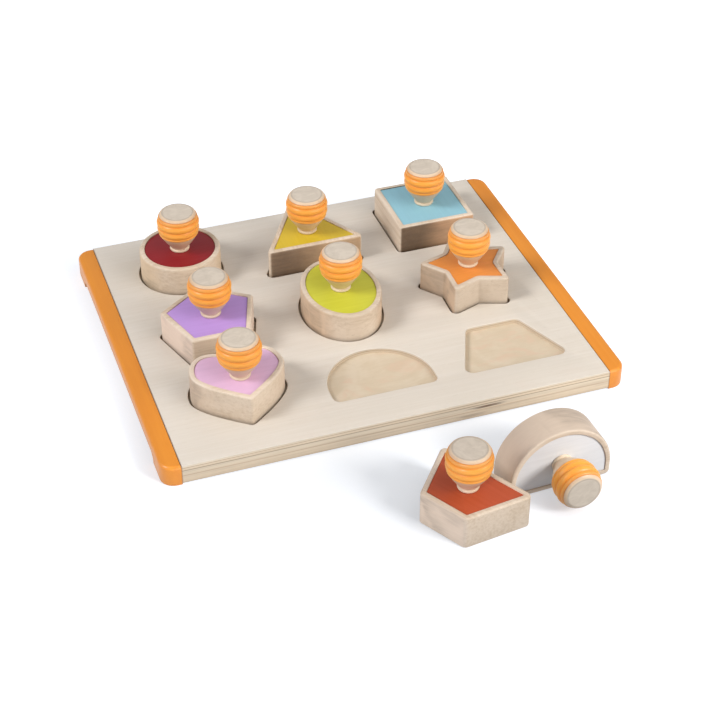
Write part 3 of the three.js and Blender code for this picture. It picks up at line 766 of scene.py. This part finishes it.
def grip_profile():
    """Profile of the ribbed ring from the bottom up, with how deep each place lies under the ribs, which sets
    its painted shade.
    """
    low, high = KNOB_TOP - GRIP_FOOT_DROP, KNOB_TOP - GRIP_HEAD_DROP
    head = high + GRIP_HEAD_RISE
    profile = [(GRIP_INSIDE_R, low), (VALLEYS[0] / 2 - GRIP_DRAWN_IN, low)]
    depth = [1.0, 1.0]
    start = low
    for rib, crest in enumerate(RIBS):
        height = RIB_SHARES[rib] * (high - low)
        for k in range(1 if rib else 0, RIB_STEPS + 1):
            t = k / RIB_STEPS
            valley = VALLEYS[rib] * (1 - t) + VALLEYS[rib + 1] * t
            rise = max(0.0, math.sin(math.pi * t)) ** 0.7
            profile.append(((valley + (crest - valley) * rise) / 2, start + t * height))
            depth.append(1 - rise)
        start += height
    profile += [(VALLEYS[-1] / 2 - GRIP_DRAWN_IN, head), (GRIP_INSIDE_R, head), (GRIP_INSIDE_R, low)]
    return profile, depth + [GRIP_HEAD_SHADE, GRIP_HEAD_SHADE, 1.0]


def make_grip(name, net):
    profile, depth = grip_profile()
    points, faces = turned(profile, GRIP_STEPS)
    grip = build_mesh(name + "_ring", points, faces, placing(name), smooth=60.0)
    values = [value for value in depth for _ in range(GRIP_STEPS)]
    grip.data.attributes.new("depth", "FLOAT", "POINT").data.foreach_set("value", values)
    return dress(grip, net, name + "_piece", name + "_grip")


# Board and rails

def eased_wall(inset, ease):
    """Insets and heights of a wall through the top sheet, its upper edge eased by a quarter round."""
    away = -1 if inset < 0 else 1
    return [(inset, BASE_T)] + [(inset + away * ease * (1 - c), BOARD_TOP - ease * (1 - s))
                                for s, c in quarter(SHEET_STEPS)]


def sheet_walls():
    """Rings of the sheet's outer wall and of its nine recesses' walls, with the share of painted shade on
    each wall.
    """
    walls = [([(outline(board_plan(), inset), z) for inset, z in eased_wall(0.0, SHEET_EDGE)], 0.0)]
    for name, shape in SHAPES.items():
        place = Vector(PLACES[name])
        rings = [([p + place for p in reversed(outline(shape, inset))], z)
                 for inset, z in eased_wall(-CLEARANCE, RECESS_EDGE)]
        walls.append((rings, WALL_SHADE_EMPTY if name in LOOSE else WALL_SHADE_SEATED))
    return walls


def flat_side(points, loops, faces_up):
    """Triangles of the flat side that lies between the outer loop and the recesses' loops."""
    order = [i for loop in loops for i in loop]
    triangles = []
    for triangle in tessellate_polygon([[Vector(points[i]) for i in loop] for loop in loops]):
        a, b, c = (order[i] for i in triangle)
        ab, ac = (Vector(points[k]) - Vector(points[a]) for k in (b, c))
        up = ab.x * ac.y - ab.y * ac.x > 0
        triangles.append((a, b, c) if up == faces_up else (a, c, b))
    return triangles


def make_sheet(net):
    """The top sheet: two flat sides with nine holes, joined by the walls."""
    points, faces, lows, tops, burn = [], [], [], [], []
    for rings, wall_shade_share in sheet_walls():
        start = len(points)
        ring_points, ring_faces = stacked(rings, capped=False)
        points += ring_points
        # Painted shade on each recess wall below its eased edge
        burn += [wall_shade_share if z < BOARD_TOP - WALL_SHADE_DROP else 0.0 for _, _, z in ring_points]
        faces += [tuple(start + i for i in face) for face in ring_faces]
        count = len(rings[0][0])
        lows.append(range(start, start + count))
        tops.append(range(len(points) - count, len(points)))
    faces += flat_side(points, tops, True) + flat_side(points, lows, False)
    sheet = build_mesh("sheet", points, faces, smooth=30.0)
    sheet.data.attributes.new("burn", "FLOAT", "POINT").data.foreach_set("value", burn)
    return dress(sheet, net, "board", "top_sheet")


# The base's eased edge and wall, from its foot up: inset, and height
BASE_WALL = [(0.8, 0.0), (0.3, 0.15), (0.05, 0.5), (0.0, 0.9), (0.0, BASE_T)]


def make_base(net):
    """The base panel under the top sheet."""
    points, faces = stacked([(outline(board_plan(), inset), z) for inset, z in BASE_WALL])
    base = build_mesh("base", points, faces)
    return dress(base, net, "board", "base_board")


def arch_height(y):
    """How high the underside of a rail is above the table, at y along it."""
    from_end = BOARD_D / 2 - abs(y) - FOOT_LENGTH
    if from_end <= 0:
        return 0.0
    t = min(1.0, from_end / ARCH_RUN)
    return ARCH_RISE * math.sqrt(max(0.0, 1 - (1 - t) ** 2))


# Where a rail's straight sides have points: this far from its corners, along its arch's curves, and here
CORNER_GAP, MIDDLE_STATIONS = 4.0, [-60.0, -20.0, 20.0, 60.0]


def rail_stations():
    """Places of the points along a rail's straight sides, from front to back."""
    near_corner = BOARD_D / 2 - RAIL_CORNER - CORNER_GAP
    curve = [BOARD_D / 2 - FOOT_LENGTH - ARCH_RUN * (1 - c) for _, c in quarter(RAIL_STEPS)]
    return [-near_corner] + [-y for y in curve] + MIDDLE_STATIONS + curve[::-1] + [near_corner]


def corner_arc(x, y, radius, first):
    """Points of a quarter circle round (x, y), anticlockwise from an angle."""
    angles = [first + math.pi / 2 * k / RAIL_STEPS for k in range(RAIL_STEPS + 1)]
    return [(x + radius * math.cos(a), y + radius * math.sin(a)) for a in angles]


def rail_ring(side, inset, height_of):
    """One ring of a rail, at points that repeat for every inset. The inner side meets the board."""
    inner, outer = BOARD_W / 2 + inset * RAIL_INNER_SHARE, BOARD_W / 2 + RAIL_W - inset
    front, back = -BOARD_D / 2 + inset, BOARD_D / 2 - inset
    radius = RAIL_CORNER - inset
    points = [(inner, front)] + corner_arc(outer - radius, front + radius, radius, -math.pi / 2)
    points += [(outer, y) for y in rail_stations()]
    points += corner_arc(outer - radius, back - radius, radius, 0.0) + [(inner, back)]
    points += [(inner, y) for y in reversed(rail_stations())]
    ring = [(side * x, y, height_of(y)) for x, y in points]
    return ring if side > 0 else ring[::-1]


def underside(side, count):
    """Faces under a rail: one under each end, and one between each two stations."""
    stations = len(rail_stations())
    first = RAIL_STEPS + 2
    last = first + stations
    outer = list(range(first, last))
    inner = [count - 1 - i for i in range(stations)]
    patches = [list(range(first)) + [outer[0], inner[0]],
               [outer[-1]] + list(range(last, last + first)) + [inner[-1]]]
    patches += [[outer[i], outer[i + 1], inner[i + 1], inner[i]] for i in range(stations - 1)]
    if side > 0:
        return [tuple(patch[::-1]) for patch in patches]
    return [tuple(count - 1 - i for i in patch) for patch in patches]


def make_rail(side, word, net):
    """A rail from its arched underside up to its rounded upper edge."""
    rings = []
    for s, c in quarter(RAIL_FOOT_STEPS):
        lift = RAIL_FOOT_EDGE * (1 - c)
        rings.append(rail_ring(side, RAIL_FOOT_EDGE * (1 - s), lambda y: TABLE + arch_height(y) + lift))
    for s, c in quarter(RAIL_STEPS):
        top = BOARD_TOP - RAIL_EDGE * (1 - s)
        rings.append(rail_ring(side, RAIL_EDGE * (1 - c), lambda y: top))
    count = len(rings[0])
    points = [p for ring in rings for p in ring]
    lid = tuple(range(len(points) - count, len(points)))
    faces = side_faces(count, len(rings)) + [lid] + underside(side, count)
    rail = build_mesh(word + "_side_rail", points, faces)
    return dress(rail, net, "board", word + "_rail")


# Everything together

def make_board():
    """The sheet, the base and the two rails. The hidden dowels keep their CAD shape."""
    make_sheet(plywood("sheet_ply", SHEET_TONES))
    make_base(plywood("base_ply", BASE_TONES, curl=1.0))
    rail_lacquer = lacquer()
    make_rail(-1, "left", rail_lacquer)
    make_rail(1, "right", rail_lacquer)
    dowel_look = dowel_wood()
    for word in ("left", "right"):
        for end in ("front", "back"):
            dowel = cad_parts[f"{word}_{end}_dowel"]
            dowel.data.materials.clear()
            dowel.data.materials.append(dowel_look.material)


def make_pieces():
    """The nine pieces that lift out. No two have the same grain."""
    grip_rubber = rubber()
    for number, (name, (slot, color)) in enumerate(FACES.items()):
        shift = GRAIN_SHIFT * (number + 1)
        make_block(name, block_wood(name, shift))
        make_face(name, paint(name, rgb(color), GRAINS[name][0], shift))
        make_knob(name, knob_wood(name, shift))
        make_grip(name, grip_rubber)


def make_floor():
    """A wide flat floor just under the rails' feet."""
    reach, level = 9000, TABLE - TOUCH
    corners = [(-reach, -reach, level), (reach, -reach, level), (reach, reach, level), (-reach, reach, level)]
    floor = build_mesh("floor", corners, [(0, 1, 2, 3)])
    floor.data.materials.append(floor_white().material)
    floor.visible_diffuse = False
    return floor


# Light and camera

WORLD_COLOR, WORLD_STRENGTH = (0.95, 0.97, 1.0, 1.0), 0.37


def light_world():
    """Even light from all round, and a view transform that keeps clear colours."""
    bpy.context.scene.view_settings.view_transform = "Standard"
    world = bpy.data.worlds.new("studio")
    bpy.context.scene.world = world
    world.use_nodes = True
    background = world.node_tree.nodes["Background"].inputs
    background["Color"].default_value = WORLD_COLOR
    background["Strength"].default_value = WORLD_STRENGTH


def area_light(name, place, aim, size, power, color, lit):
    """A soft light that falls only on the objects listed in lit."""
    light = bpy.data.lights.new(name, "AREA")
    light.shape = "RECTANGLE"
    light.size, light.size_y = size
    light.energy = power
    light.color = color
    obj = bpy.data.objects.new(name, light)
    obj.location = place
    obj.rotation_euler = (Vector(aim) - Vector(place)).to_track_quat("-Z", "Y").to_euler()
    bpy.context.scene.collection.objects.link(obj)
    group = bpy.data.collections.new(name + "_falls_on")
    for receiver in lit:
        group.objects.link(receiver)
    obj.light_linking.receiver_collection = group


# Each light's name, place, aim, size, power, colour, and the group of objects that it falls on
LIGHTS = [
    ("key", (-4.4, -0.35, 3.9), (0.0, -0.05, 0.0), (1.9, 1.9), 226.0, (1.0, 0.985, 0.97), "seated"),
    ("side", (1.2, -1.5, 1.0), (0.1, -0.15, 0.0), (1.3, 1.0), 13.0, (1.0, 0.94, 0.84), "seated"),
    ("front", (0.8, -1.5, 0.35), (0.05, -0.1, 0.0), (1.6, 0.4), 6.5, (1.0, 0.9, 0.78), "seated"),
    ("rail_ends", (0.0, -1.5, 0.15), (0.0, -0.16, 0.0), (1.4, 0.25), 7.5, (1.0, 0.96, 0.84), "rails"),
    ("top", (0.5, -0.6, 1.0), (0.05, -0.1, 0.0), (1.0, 1.0), 5.0, (1.0, 0.985, 0.96), "low"),
    ("floor_key", (1.15, -1.75, 1.3), (0.05, -0.25, 0.0), (0.7, 0.7), 50.0, (1.0, 0.99, 0.98), "floor"),
    ("upright_key", (1.7, -1.75, 1.8), (0.1, -0.25, 0.0), (0.8, 0.8), 84.0, (1.0, 0.97, 0.93), "upright"),
    ("upright_left", (-1.25, 0.1, 0.75), (0.1, -0.2, 0.0), (0.9, 0.9), 13.0, (1.0, 0.985, 0.98), "upright"),
    ("flat_left", (-1.5, -1.45, 1.0), (0.0, -0.25, 0.0), (0.7, 0.7), 27.0, (1.0, 0.975, 1.03), "flat"),
    ("flat_right", (1.5, -1.45, 1.0), (0.0, -0.25, 0.0), (0.7, 0.7), 16.3, (1.0, 0.91, 0.72), "flat"),
]


def light_studio(floor):
    """Soft lights. The seated pieces, the upright piece, the flat one and the floor have their own."""
    pieces = [obj for obj in bpy.context.scene.objects if obj.type == "MESH" and obj is not floor]
    seated = [obj for obj in pieces if not obj.name.startswith(LOOSE)]
    flat = [obj for obj in pieces if obj.name.startswith("trapezoid")]
    groups = {
        "seated": seated,
        "flat": flat,
        "upright": [obj for obj in pieces if obj.name.startswith("half_round")],
        "rails": [obj for obj in seated if obj.name.endswith("side_rail")],
        "floor": [floor],
        "low": seated + flat + [floor],
    }
    for *light, group in LIGHTS:
        area_light(*light, groups[group])


# The camera's place in metres, its yaw and pitch in degrees, and its roll in radians
CAMERA_PLACE = (-0.39834, -1.19868, 0.93210)
CAMERA_YAW, CAMERA_PITCH, CAMERA_ROLL = 18.95, 37.42, -0.001667
CAMERA_SENSOR, CAMERA_LENS, CAMERA_REACH = 36.0, 89.756, 60.0


def make_camera():
    """The camera of the photograph, with a very small roll."""
    camera = bpy.data.objects.new("camera", bpy.data.cameras.new("camera"))
    camera.data.sensor_width = CAMERA_SENSOR
    camera.data.lens = CAMERA_LENS
    camera.data.clip_end = CAMERA_REACH
    yaw, pitch = math.radians(CAMERA_YAW), math.radians(CAMERA_PITCH)
    ahead = Vector((math.sin(yaw) * math.cos(pitch), math.cos(yaw) * math.cos(pitch), -math.sin(pitch)))
    level = Vector((math.cos(yaw), -math.sin(yaw), 0.0))
    above = level.cross(ahead)
    right = level * math.cos(CAMERA_ROLL) + above * math.sin(CAMERA_ROLL)
    up = above * math.cos(CAMERA_ROLL) - level * math.sin(CAMERA_ROLL)
    turn = Matrix((right, up, -ahead)).transposed().to_4x4()
    camera.matrix_world = Matrix.Translation(CAMERA_PLACE) @ turn
    bpy.context.scene.collection.objects.link(camera)
    bpy.context.scene.camera = camera


make_board()
make_pieces()
light_world()
light_studio(make_floor())
make_camera()

bpy.context.view_layer.update()
